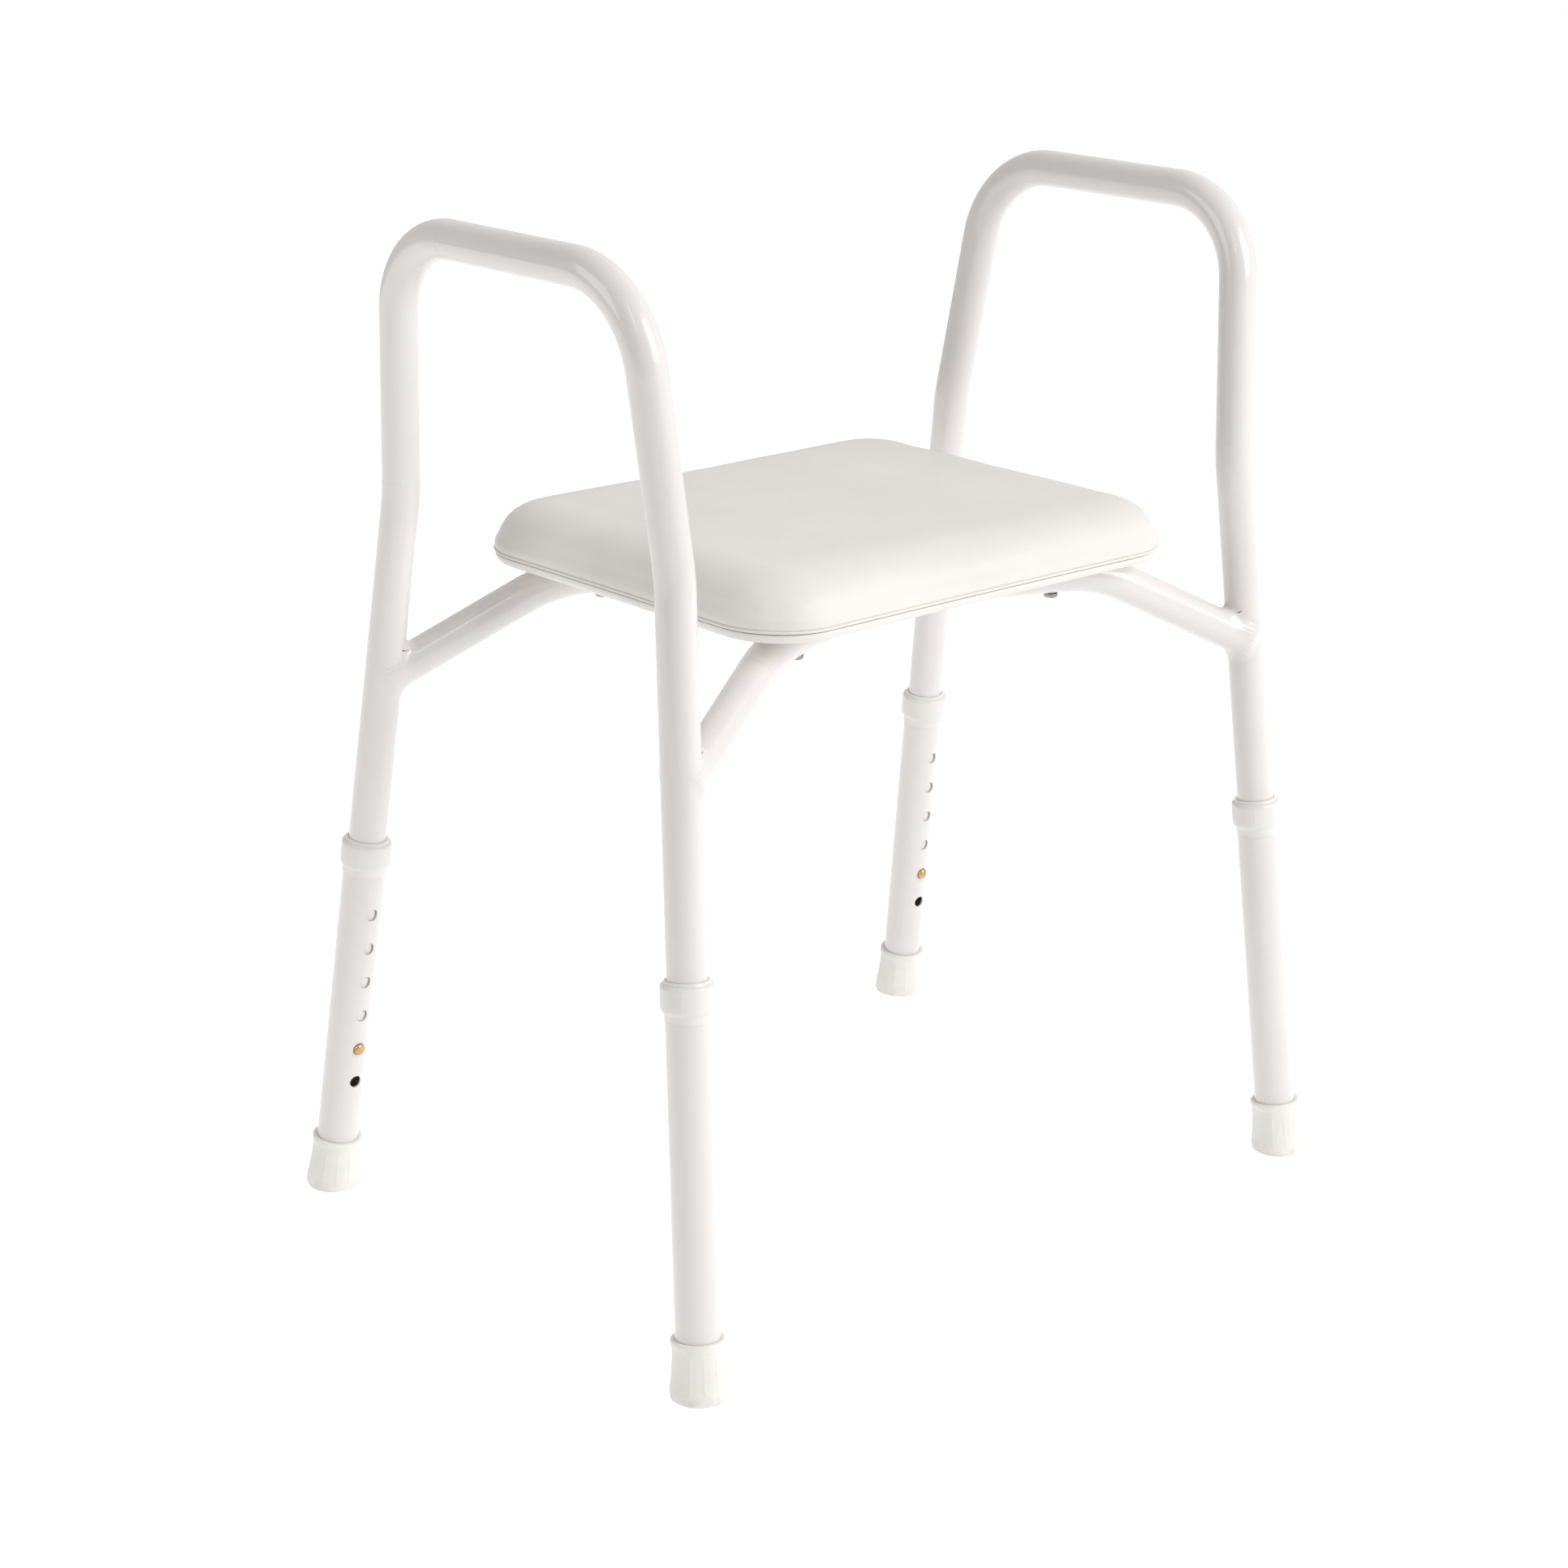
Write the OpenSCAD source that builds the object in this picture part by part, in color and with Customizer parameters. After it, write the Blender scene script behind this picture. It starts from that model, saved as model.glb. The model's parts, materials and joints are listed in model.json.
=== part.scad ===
// Shower stool with two armrests, a padded seat and four height-adjustable legs.
// Millimetres, +Z up, X from the left armrest to the right one, the front faces -Y.
// The origin is on the floor under the middle of the seat.

/* [Tubes] */
// Outside diameter of the tube of the arm frames and cross tubes
frame_tube_d = 25.4; // [20:0.1:30]
// Wall of the frame tube
frame_tube_wall = 1.6; // [1:0.1:2.5]
// Outside diameter of the lower leg tube that slides over the frame tube
leg_tube_d = 28.6; // [23:0.1:36]
// Gap all round between the lower leg tube and the frame tube inside it
leg_slide_gap = 0.4; // [0.3:0.05:0.8]
// Bend radius of the armrest corners, to the tube's axis
arm_bend_r = 62; // [45:1:75]
// Bend radius of the knee in each leg
knee_bend_r = 150; // [80:5:250]

/* [Stance] */
// Height of the armrest's axis above the floor
arm_axis_z = 682; // [600:1:820]
// Half the distance between the axes of the two armrests
arm_half_span = 270; // [225:1:325]
// Half the length of the armrest, to where its axis meets the legs' axes
arm_half_depth = 115; // [95:1:140]
// Height of the knee, where the legs turn outwards
knee_z = 505; // [420:1:600]
// Half the distance between the knees, left to right
knee_half_span = 255; // [225:1:306]
// Half the distance between the leg axes at the floor, left to right
foot_half_span = 280; // [233:1:336]
// Half the distance between the leg axes at the floor, front to back
foot_half_depth = 196; // [163:1:235]

/* [Cross tubes] */
// Height at which a cross tube's axis meets the leg's axis
cross_joint_z = 378; // [315:1:400]
// Half the length of the level middle run, parallel to X
cross_middle_half = 70; // [40:1:90]
// Distance of the middle run from the centre, front and back
cross_middle_y = 78; // [60:1:95]
// Distance from the centre at which the cross tube starts to drop to the leg
cross_shoulder_x = 150; // [135:1:180]
// Bend radius of the cross tubes
cross_bend_r = 105; // [60:1:110]
// Size of the weld bead round each joint
weld_size = 2.2; // [1:0.1:4]

/* [Seat] */
// Width of the seat, left to right
seat_width = 380; // [320:1:440]
// Depth of the seat, front to back
seat_depth = 304; // [255:1:365]
// Height of the seat's underside above the floor
seat_under_z = 450; // [435:1:480]
// Thickness of the base board with its rim
seat_base_t = 7.4; // [6:0.1:12]
// Overall thickness of the padding
seat_pad_t = 33.6; // [25:0.1:45]
// Radius of the seat's corners, seen from above
seat_corner_r = 48; // [35:1:70]
// Radius of the padding's top edge
seat_edge_r = 26; // [14:1:30]
// Step in of the base board behind the padding's edge
seat_rim_inset = 1.4; // [0.5:0.1:3]
// Groove between the base board and the padding
seat_seam = 0.5; // [0.2:0.1:1]
// Distance of the four seat bolts from the centre, left to right
seat_bolt_x = 118; // [95:1:122]
// Diameter of the seat bolts
seat_bolt_d = 6; // [5:0.5:8]

/* [Height adjustment] */
// Distance between neighbouring holes in the lower leg
hole_pitch = 25.4; // [20:0.1:32]
// Number of holes in each lower leg
hole_count = 6; // [4:1:7]
// Which hole, counted from the lowest one as 0, the snap button is in
button_hole = 1; // [1:1:3]
// Distance of the snap button from the floor, along the leg
button_s = 111; // [105:1:140]
// Diameter of the snap button
button_d = 8; // [6:0.1:9]
// Gap all round between the snap button and its holes
button_gap = 0.3; // [0.2:0.05:0.6]
// How far the snap button stands out of the lower leg
button_proud = 2.9; // [1.5:0.1:4]
// Length of frame tube below the snap button
frame_tail = 15; // [10:1:17]

/* [Collar and foot] */
// Length of the collar on top of the lower leg
collar_h = 26; // [20:1:32]
// Outside diameter of the collar
collar_d = 34; // [32:0.1:40]
// Distance of the collar's top edge from the floor, along the leg
collar_top_s = 266; // [240:1:300]
// Length of the foot along the leg
foot_h = 38; // [30:1:48]
// Outside diameter of the foot at its top
foot_top_d = 32.6; // [31:0.1:40]
// Outside diameter of the foot near the floor
foot_bottom_d = 37; // [34:0.1:46]
// Thickness of the foot's floor under the tube
foot_floor = 8; // [6:0.5:12]
// Play between plastic parts and the tube they are pushed onto
push_fit = 0.02; // [0:0.01:0.05]

/* [Hidden] */
$fn = 96;
frame_r = frame_tube_d / 2;
frame_bore_r = frame_r - frame_tube_wall;
leg_r = leg_tube_d / 2;
leg_bore_r = frame_r + leg_slide_gap;
bend_lap = 1;
bend_swell = 0.08;

// the legs' axes lean evenly from the armrest down to the floor, front to back
splay = (foot_half_depth - arm_half_depth) / arm_axis_z;
knee_y = foot_half_depth - splay * knee_z;
arm_corner = [arm_half_span, arm_half_depth, arm_axis_z];
knee = [knee_half_span, knee_y, knee_z];
floor_point = [foot_half_span, foot_half_depth, 0];
leg_length = norm(knee - floor_point);
leg_axis = (knee - floor_point) / leg_length;

// the leg's own frame: origin at the floor point, Z up the leg, -Y where its holes look
leg_out = [0, 1, 0] - leg_axis[1] * leg_axis;
leg_y = leg_out / norm(leg_out);
leg_x = cross(leg_y, leg_axis);
frame_end_s = button_s - frame_tail;
frame_end = floor_point + leg_axis * frame_end_s;

cross_z = seat_under_z - frame_r - 0.1;
cross_joint = floor_point + leg_axis * (cross_joint_z / leg_axis[2]);
cross_plan_slope = (cross_joint[1] - cross_middle_y) / (cross_joint[0] - cross_middle_half);
cross_shoulder_y = cross_middle_y + cross_plan_slope * (cross_shoulder_x - cross_middle_half);
cross_bend = [cross_middle_half, cross_middle_y, cross_z];
cross_shoulder = [cross_shoulder_x, cross_shoulder_y, cross_z];
seat_bolt_y = cross_middle_y + cross_plan_slope * (seat_bolt_x - cross_middle_half);

white = [0.93, 0.93, 0.92];
ivory = [0.87, 0.86, 0.83];
brass = [0.78, 0.58, 0.24];
steel = [0.62, 0.63, 0.65];

// ---------- placing ----------

// turns the local frame x, y, z so that it stands at point o
module place(x, y, z, o) {
    multmatrix([[x[0], y[0], z[0], o[0]],
                [x[1], y[1], z[1], o[1]],
                [x[2], y[2], z[2], o[2]],
                [0, 0, 0, 1]]) children();
}

// Z along the line from a to b, origin at a
module along(a, b) {
    z = (b - a) / norm(b - a);
    side = abs(z[0]) < 0.8 ? [1, 0, 0] : [0, 1, 0];
    x0 = cross(side, z);
    x = x0 / norm(x0);
    place(x, cross(z, x), z, a) children();
}

module flip_x(on) {
    if (on) mirror([1, 0, 0]) children();
    else children();
}

module flip_y(on) {
    if (on) mirror([0, 1, 0]) children();
    else children();
}

// side: -1 left, 1 right; row: -1 front, 1 rear
module at_corner(side, row) {
    flip_x(side < 0) flip_y(row < 0) children();
}

module in_leg(side, row) {
    at_corner(side, row) place(leg_x, leg_y, leg_axis, floor_point) children();
}

// ---------- tubes ----------

function unit(v) = v / norm(v);
function turn_at(p, i) = 180 - acos(unit(p[i - 1] - p[i]) * unit(p[i + 1] - p[i]));
function tangent_length(p, r, i) =
    (i == 0 || i == len(p) - 1) ? 0 : r[i] * tan(turn_at(p, i) / 2);

// a rod through the points p from point i on, bent at each inner point to its radius in r
// it starts at the local origin and runs along local Z; x is where local X points
// each bend is a hair thicker than the straights and reaches a little over their ends
module bent_rod(p, r, d, x, i = 0) {
    ahead = unit(p[i + 1] - p[i]);
    run = norm(p[i + 1] - p[i]) - tangent_length(p, r, i) - tangent_length(p, r, i + 1);
    cylinder(d = d, h = run);
    if (i < len(p) - 2) {
        next = unit(p[i + 2] - p[i + 1]);
        inwards = unit(next - (next * ahead) * ahead);
        roll = atan2(inwards * cross(ahead, x), inwards * x);
        turn = turn_at(p, i + 1);
        radius = r[i + 1];
        lap = bend_lap / radius * 180 / PI;
        translate([0, 0, run]) rotate([0, 0, roll]) translate([radius, 0, 0]) {
            rotate([90, 0, 180]) rotate([0, 0, -lap]) rotate_extrude(angle = turn + 2 * lap)
                translate([radius, 0]) circle(d = d + 2 * bend_swell);
            rotate([0, turn, 0]) translate([-radius, 0, 0])
                bent_rod(p, r, d, cos(turn) * inwards - sin(turn) * ahead, i + 1);
        }
    }
}

module button_hole_cut(s, r) {
    translate([0, 0, s]) rotate([90, 0, 0]) cylinder(r = r, h = leg_r + 6);
}

// one arm frame: a hoop with its two legs, with a button hole at each lower end
module arm_frame(side) {
    middle = [arm_half_span, 0, arm_axis_z];
    arm_bends = [0, arm_bend_r, knee_bend_r, 0];
    color(white) flip_x(side < 0) difference() {
        for (row = [-1, 1]) flip_y(row < 0) translate(middle) rotate([-90, 0, 0])
            bent_rod([middle, arm_corner, knee, frame_end], arm_bends, frame_tube_d, [1, 0, 0]);
        for (row = [-1, 1]) flip_y(row < 0) translate(middle) rotate([-90, 0, 0])
            bent_rod([middle, arm_corner, knee, floor_point], arm_bends, 2 * frame_bore_r, [1, 0, 0]);
        for (row = [-1, 1])
            in_leg(1, row) button_hole_cut(button_s, button_d / 2 + button_gap);
    }
}

module leg_core(side, row, r) {
    in_leg(side, row) translate([0, 0, cross_joint_z - 60]) cylinder(r = r, h = 130);
}

// one cross tube: a level middle under the seat, dropping to a leg at each end
module cross_tube(row) {
    middle = [0, cross_middle_y, cross_z];
    path = [middle, cross_bend, cross_shoulder, cross_joint];
    bends = [0, cross_bend_r, cross_bend_r, 0];
    color(white) flip_y(row < 0) difference() {
        for (side = [-1, 1]) flip_x(side < 0) translate(middle) rotate([0, 90, 0])
            bent_rod(path, bends, frame_tube_d, [0, 0, -1]);
        for (side = [-1, 1]) flip_x(side < 0) translate(middle) rotate([0, 90, 0])
            bent_rod(path, bends, 2 * frame_bore_r, [0, 0, -1]);
        for (side = [-1, 1]) leg_core(side, 1, frame_r + push_fit);
        for (side = [-1, 1])
            translate([side * seat_bolt_x, seat_bolt_y, cross_z - frame_r - 5])
                cylinder(d = seat_bolt_d + 0.4, h = frame_tube_d + 10);
    }
}

// the bead round the end of a cross tube, where it meets the leg
module weld(side, row) {
    color(white) difference() {
        intersection() {
            at_corner(side, row) along(cross_joint, cross_shoulder)
                cylinder(r = frame_r + weld_size + 0.5, h = 45);
            leg_core(side, row, frame_r + weld_size);
        }
        leg_core(side, row, frame_r + push_fit);
        at_corner(side, row) along(cross_joint, cross_shoulder)
            translate([0, 0, -1]) cylinder(r = frame_r + 2 * push_fit, h = 48);
    }
}

// ---------- seat ----------

// a quarter of a circle of radius r round c, from angle a to angle a + 90
function quarter_arc(c, r, a, n = 8) = [for (i = [0 : n]) c + r * [cos(a + 90 * i / n), sin(a + 90 * i / n)]];

// a slab with round corners and one edge section on all four sides
// section: points from the bottom to the top, x counted from the corner's centre
module rounded_slab(half_x, half_y, corner_r, bottom, top, section) {
    outline = concat([[0, bottom]], section, [[0, top]]);
    straight_x = half_x - corner_r;
    straight_y = half_y - corner_r;
    translate([-straight_x, -straight_y, bottom])
        cube([2 * straight_x, 2 * straight_y, top - bottom]);
    for (side = [false, true]) flip_x(side) translate([straight_x, 0, 0])
        rotate([90, 0, 0]) linear_extrude(height = 2 * straight_y, center = true) polygon(outline);
    for (row = [false, true]) flip_y(row) translate([0, straight_y, 0])
        rotate([90, 0, 90]) linear_extrude(height = 2 * straight_x, center = true) polygon(outline);
    for (side = [false, true]) for (row = [false, true])
        flip_x(side) flip_y(row) translate([straight_x, straight_y, 0])
            rotate_extrude(angle = 90) polygon(outline);
}

seat_base_top = seat_under_z + seat_base_t;
pad_bottom = seat_base_top + seat_seam;
pad_top = seat_base_top + seat_pad_t;

module seat_base() {
    r = seat_corner_r - seat_rim_inset;
    edge = 3;
    color(white) difference() {
        rounded_slab(seat_width / 2 - seat_rim_inset, seat_depth / 2 - seat_rim_inset, r,
            seat_under_z, seat_base_top,
            concat(quarter_arc([r - edge, seat_under_z + edge], edge, -90), [[r, seat_base_top]]));
        for (side = [-1, 1]) for (row = [-1, 1])
            translate([side * seat_bolt_x, row * seat_bolt_y, seat_under_z - 1])
                cylinder(d = seat_bolt_d + 2 * push_fit, h = seat_base_t - 0.4);
    }
}

module seat_cushion() {
    r = seat_corner_r;
    low = 2.5;
    color(ivory) rounded_slab(seat_width / 2, seat_depth / 2, r, pad_bottom, pad_top,
        concat(quarter_arc([r - low, pad_bottom + low], low, -90),
            quarter_arc([r - seat_edge_r, pad_top - seat_edge_r], seat_edge_r, 0)));
}

// four bolts up through the cross tubes into the base board
module seat_bolts() {
    head_r = seat_bolt_d * 0.8;
    head_h = seat_bolt_d * 0.5;
    top = seat_under_z + seat_base_t - 2.4;
    under = cross_z - frame_r - 0.1;
    for (side = [-1, 1]) for (row = [-1, 1])
        color(steel) translate([side * seat_bolt_x, row * seat_bolt_y, 0]) difference() {
            rotate_extrude() polygon(concat(
                [[0, under - head_h], [head_r - 1.6, under - head_h]],
                quarter_arc([head_r - 1.6, under - head_h + 1.6], 1.6, -90, 5),
                [[head_r, under], [seat_bolt_d / 2, under], [seat_bolt_d / 2, top - 0.6],
                 [seat_bolt_d / 2 - 0.6, top], [0, top]]));
            translate([0, 0, under - head_h - 1]) cylinder(d = seat_bolt_d * 0.72, h = 2.8, $fn = 6);
        }
}

// ---------- legs ----------

// the lower leg tube with its row of adjustment holes
module lower_leg(side, row) {
    color(white) in_leg(side, row) difference() {
        translate([0, 0, foot_floor]) cylinder(r = leg_r, h = collar_top_s - 8 - foot_floor);
        translate([0, 0, foot_floor - 1]) cylinder(r = leg_bore_r, h = collar_top_s);
        for (k = [0 : hole_count - 1])
            button_hole_cut(button_s + (k - button_hole) * hole_pitch, button_d / 2 + button_gap);
    }
}

// the plastic sleeve that closes the top of the lower leg round the frame tube
module collar(side, row) {
    low = collar_top_s - collar_h;
    shelf = collar_top_s - 8;
    r = collar_d / 2;
    round_r = 2.2;
    mouth = leg_bore_r - 0.05;
    color(white) in_leg(side, row) rotate_extrude() polygon(concat(
        [[leg_r + push_fit, low], [leg_r + 0.9, low], [r - 0.5, low + 7], [r, low + 9.5]],
        quarter_arc([r - round_r, collar_top_s - round_r - 2], round_r, 0, 5),
        [[mouth + 0.9, collar_top_s], [mouth, collar_top_s - 0.6],
         [mouth, shelf], [leg_r + push_fit, shelf]]));
}

// the rubber ferrule, flared towards the floor and cut level with it
module foot(side, row) {
    top_r = foot_top_d / 2;
    low_r = foot_bottom_d / 2;
    edge = 4;
    below = 2.4;
    color(ivory) difference() {
        in_leg(side, row) rotate_extrude() polygon(concat(
            [[0, -below]],
            quarter_arc([low_r - edge, edge - below], edge, -90, 6),
            [[low_r - 0.5, foot_h * 0.42], [top_r, foot_h - 1.2], [top_r - 1.2, foot_h],
             [leg_r + push_fit, foot_h], [leg_r + push_fit, foot_floor - push_fit],
             [0, foot_floor - push_fit]]));
        at_corner(side, row) translate([foot_half_span - 60, foot_half_depth - 60, -30])
            cube([120, 120, 30]);
    }
}

// ---------- snap buttons ----------

button_tip = leg_r + button_proud;
flange_out = frame_bore_r - 1.7;
flange_in = flange_out - 1.4;

module snap_button(side, row) {
    r = button_d / 2;
    dome_h = 2;
    color(brass) in_leg(side, row) translate([0, 0, button_s]) rotate([90, 0, 0])
        rotate_extrude() polygon(concat(
            [[0, flange_in], [r + 1, flange_in], [r + 1, flange_out], [r, flange_out]],
            [for (i = [0 : 6]) [r * cos(15 * i), button_tip - dome_h + dome_h * sin(15 * i)]]));
}

// a flat blade of thickness t from a to b, drawn in the leg's own Y and Z
module blade(a, b, t) {
    u = unit(b - a);
    n = [-u[1], u[0]] * t / 2;
    polygon([a + n, a - n, b - n, b + n]);
}

// the leaf spring inside the frame tube, folded at its top, that pushes the button out
module button_spring(side, row) {
    t = 0.7;
    w = 7;
    front_y = -(flange_in - t / 2 - 0.1);
    back_y = sqrt(pow(frame_bore_r - 0.1, 2) - w * w / 4) - t / 2;
    color(steel) in_leg(side, row) translate([-w / 2, 0, button_s]) rotate([90, 0, 90])
        linear_extrude(height = w) union() {
            blade([front_y, -5], [front_y, 5.2], t);
            blade([front_y, 4.9], [back_y - 1, 32], t);
            blade([back_y - 1.3, 31.85], [back_y + t / 2, 31.85], t);
            blade([back_y, 32.2], [back_y, -8], t);
        }
}

// ---------- one module per node ----------

module arm_frame_left() { arm_frame(-1); }
module arm_frame_right() { arm_frame(1); }
module cross_tube_front() { cross_tube(-1); }
module cross_tube_rear() { cross_tube(1); }
module weld_front_left() { weld(-1, -1); }
module weld_front_right() { weld(1, -1); }
module weld_rear_left() { weld(-1, 1); }
module weld_rear_right() { weld(1, 1); }
module lower_leg_front_left() { lower_leg(-1, -1); }
module lower_leg_front_right() { lower_leg(1, -1); }
module lower_leg_rear_left() { lower_leg(-1, 1); }
module lower_leg_rear_right() { lower_leg(1, 1); }
module collar_front_left() { collar(-1, -1); }
module collar_front_right() { collar(1, -1); }
module collar_rear_left() { collar(-1, 1); }
module collar_rear_right() { collar(1, 1); }
module foot_front_left() { foot(-1, -1); }
module foot_front_right() { foot(1, -1); }
module foot_rear_left() { foot(-1, 1); }
module foot_rear_right() { foot(1, 1); }
module snap_button_front_left() { snap_button(-1, -1); }
module snap_button_front_right() { snap_button(1, -1); }
module snap_button_rear_left() { snap_button(-1, 1); }
module snap_button_rear_right() { snap_button(1, 1); }
module button_spring_front_left() { button_spring(-1, -1); }
module button_spring_front_right() { button_spring(1, -1); }
module button_spring_rear_left() { button_spring(-1, 1); }
module button_spring_rear_right() { button_spring(1, 1); }

arm_frame_left();
arm_frame_right();
cross_tube_front();
cross_tube_rear();
weld_front_left();
weld_front_right();
weld_rear_left();
weld_rear_right();
seat_base();
seat_cushion();
seat_bolts();
lower_leg_front_left();
lower_leg_front_right();
lower_leg_rear_left();
lower_leg_rear_right();
collar_front_left();
collar_front_right();
collar_rear_left();
collar_rear_right();
foot_front_left();
foot_front_right();
foot_rear_left();
foot_rear_right();
snap_button_front_left();
snap_button_front_right();
snap_button_rear_left();
snap_button_rear_right();
button_spring_front_left();
button_spring_front_right();
button_spring_rear_left();
button_spring_rear_right();
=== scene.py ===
"""Look of the shower stool: camera, light, materials, and the detailed pieces that stand for CAD nodes."""

import json
import math

import bmesh
import bpy
from mathutils import Matrix, Vector, noise
from mathutils.bvhtree import BVHTree


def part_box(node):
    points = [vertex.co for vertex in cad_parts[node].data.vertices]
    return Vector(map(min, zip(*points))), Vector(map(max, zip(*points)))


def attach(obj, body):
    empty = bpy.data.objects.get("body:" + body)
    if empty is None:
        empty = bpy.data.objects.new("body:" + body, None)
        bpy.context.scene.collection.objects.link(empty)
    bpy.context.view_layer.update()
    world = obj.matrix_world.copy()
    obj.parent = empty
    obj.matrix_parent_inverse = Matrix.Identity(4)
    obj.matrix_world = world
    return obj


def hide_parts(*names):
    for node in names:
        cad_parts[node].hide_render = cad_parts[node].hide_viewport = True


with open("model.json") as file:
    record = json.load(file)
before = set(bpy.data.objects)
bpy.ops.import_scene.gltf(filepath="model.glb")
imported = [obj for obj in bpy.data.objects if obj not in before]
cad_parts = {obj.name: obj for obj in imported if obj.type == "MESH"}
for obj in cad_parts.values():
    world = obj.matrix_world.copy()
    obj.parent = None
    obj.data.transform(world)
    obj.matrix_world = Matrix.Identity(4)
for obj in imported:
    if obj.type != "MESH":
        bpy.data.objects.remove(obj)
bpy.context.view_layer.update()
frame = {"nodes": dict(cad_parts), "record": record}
NODES = frame["nodes"]

MM = 0.001
# name of the row, sign of its y, name of the side, sign of its x
CORNERS = [("front", -1, "left", -1), ("front", -1, "right", 1),
           ("rear", 1, "left", -1), ("rear", 1, "right", 1)]

# ---------------------------------------------------------------- materials


class Look:
    """A node tree builder round one Principled shader."""

    def __init__(self, name, **sockets):
        self.mat = bpy.data.materials.new(name)
        self.mat.use_nodes = True
        self.tree = self.mat.node_tree
        self.shader = next(n for n in self.tree.nodes if n.type == "BSDF_PRINCIPLED")
        self.coords = self.add("ShaderNodeTexCoord").outputs["Object"]
        for key, value in sockets.items():
            self.shader.inputs[key.replace("_", " ")].default_value = value

    def add(self, kind, **props):
        node = self.tree.nodes.new(kind)
        for key, value in props.items():
            setattr(node, key, value)
        return node

    def link(self, a, b):
        self.tree.links.new(a, b)

    def noise(self, scale, detail=2.0, rough=0.5, coords=None, distortion=0.0):
        """Smooth noise from 0 to 1, with scale features to the metre."""
        node = self.add("ShaderNodeTexNoise")
        node.inputs["Scale"].default_value = scale
        node.inputs["Detail"].default_value = detail
        node.inputs["Roughness"].default_value = rough
        node.inputs["Distortion"].default_value = distortion
        self.link(coords or self.coords, node.inputs["Vector"])
        return node.outputs["Fac"]

    def cell_edges(self, scale, coords=None):
        """Distance to the nearest edge between irregular cells."""
        node = self.add("ShaderNodeTexVoronoi", feature="DISTANCE_TO_EDGE")
        node.inputs["Scale"].default_value = scale
        self.link(coords or self.coords, node.inputs["Vector"])
        return node.outputs["Distance"]

    def span(self, value, low, high, to_low, to_high):
        """Maps low to to_low and high to to_high, and holds those values outside."""
        node = self.add("ShaderNodeMapRange")
        names = ("From Min", "From Max", "To Min", "To Max")
        for socket, number in zip(names, (low, high, to_low, to_high)):
            node.inputs[socket].default_value = number
        self.link(value, node.inputs["Value"])
        return node.outputs["Result"]

    def mix(self, factor, a, b):
        """Colour a where factor is 0, colour b where it is 1. Sockets 0, 6 and 7 are factor, A and B."""
        node = self.add("ShaderNodeMix", data_type="RGBA")
        for socket, value in ((0, factor), (6, a), (7, b)):
            if isinstance(value, (int, float)):
                node.inputs[socket].default_value = value
            elif isinstance(value, tuple):
                node.inputs[socket].default_value = (*value, 1.0)
            else:
                self.link(value, node.inputs[socket])
        return node.outputs[2]

    def maths(self, op, a, b=0.0):
        node = self.add("ShaderNodeMath", operation=op)
        for socket, value in ((0, a), (1, b)):
            if isinstance(value, (int, float)):
                node.inputs[socket].default_value = value
            else:
                self.link(value, node.inputs[socket])
        return node.outputs[0]

    def stretched(self, x, y, z):
        node = self.add("ShaderNodeMapping")
        node.inputs["Scale"].default_value = (x, y, z)
        self.link(self.coords, node.inputs["Vector"])
        return node.outputs["Vector"]

    def bump(self, height, distance, strength=1.0, over=None):
        node = self.add("ShaderNodeBump")
        node.inputs["Strength"].default_value = strength
        node.inputs["Distance"].default_value = distance
        self.link(height, node.inputs["Height"])
        if over is not None:
            self.link(over, node.inputs["Normal"])
        return node.outputs["Normal"]

    def done(self, colour=None, rough=None, normal=None):
        for socket, value in (("Base Color", colour), ("Roughness", rough), ("Normal", normal)):
            if value is not None:
                self.link(value, self.shader.inputs[socket])
        return self.mat


def enamel(name, tint, shade):
    """Gloss powder coat: orange peel, faint flow and fine dust marks."""
    look = Look(name, IOR=1.5, Coat_Weight=0.55, Coat_Roughness=0.09, Coat_IOR=1.5)
    broad = look.noise(7.0, 3.0)
    colour = look.mix(look.span(broad, 0.3, 0.7, 0.0, 1.0), tint, shade)
    specks = look.span(look.noise(900.0, 1.0), 0.72, 0.80, 0.0, 0.10)
    colour = look.mix(specks, colour, (0.62, 0.60, 0.57))
    uneven = look.maths("ADD", look.noise(16.0, 2.0), look.noise(240.0, 2.0))
    rough = look.span(uneven, 0.7, 1.3, 0.285, 0.345)
    peel = look.bump(look.noise(420.0, 2.0, 0.45), 0.000012, 0.35)
    flow = look.bump(look.noise(30.0, 1.0), 0.00010, 0.12, over=peel)
    return look.done(colour, rough, flow)


def padding(name):
    """Satin moulded vinyl: pebble grain with painted shade in its hollows, soft mottling and a slightly
    uneven surface.
    """
    look = Look(name, IOR=1.47, Sheen_Weight=0.06, Sheen_Roughness=0.5, Specular_IOR_Level=0.42)
    broad = look.noise(9.0, 4.0, 0.55)
    patch = look.noise(26.0, 3.0, 0.5, distortion=0.4)
    tint, shade = (0.775, 0.748, 0.714), (0.735, 0.707, 0.672)
    colour = look.mix(look.span(broad, 0.32, 0.68, 0.0, 1.0), tint, shade)
    colour = look.mix(look.span(patch, 0.55, 0.75, 0.0, 0.22), colour, (0.70, 0.675, 0.635))
    pores = look.span(look.cell_edges(620.0), 0.0, 0.16, 0.0, 1.0)
    # painted shade: the grain's hollows, where the bump sinks, are darkened
    colour = look.mix(look.span(pores, 0.0, 1.0, 0.10, 0.0), colour, (0.60, 0.57, 0.53))
    rough = look.span(look.maths("ADD", look.noise(150.0, 2.0), broad), 0.7, 1.3, 0.40, 0.53)
    skin = look.bump(pores, 0.00009, 0.35)
    soft = look.bump(look.noise(320.0, 3.0), 0.00012, 0.35, over=skin)
    return look.done(colour, rough, look.bump(look.noise(17.0, 2.0), 0.0016, 0.12, over=soft))


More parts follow.
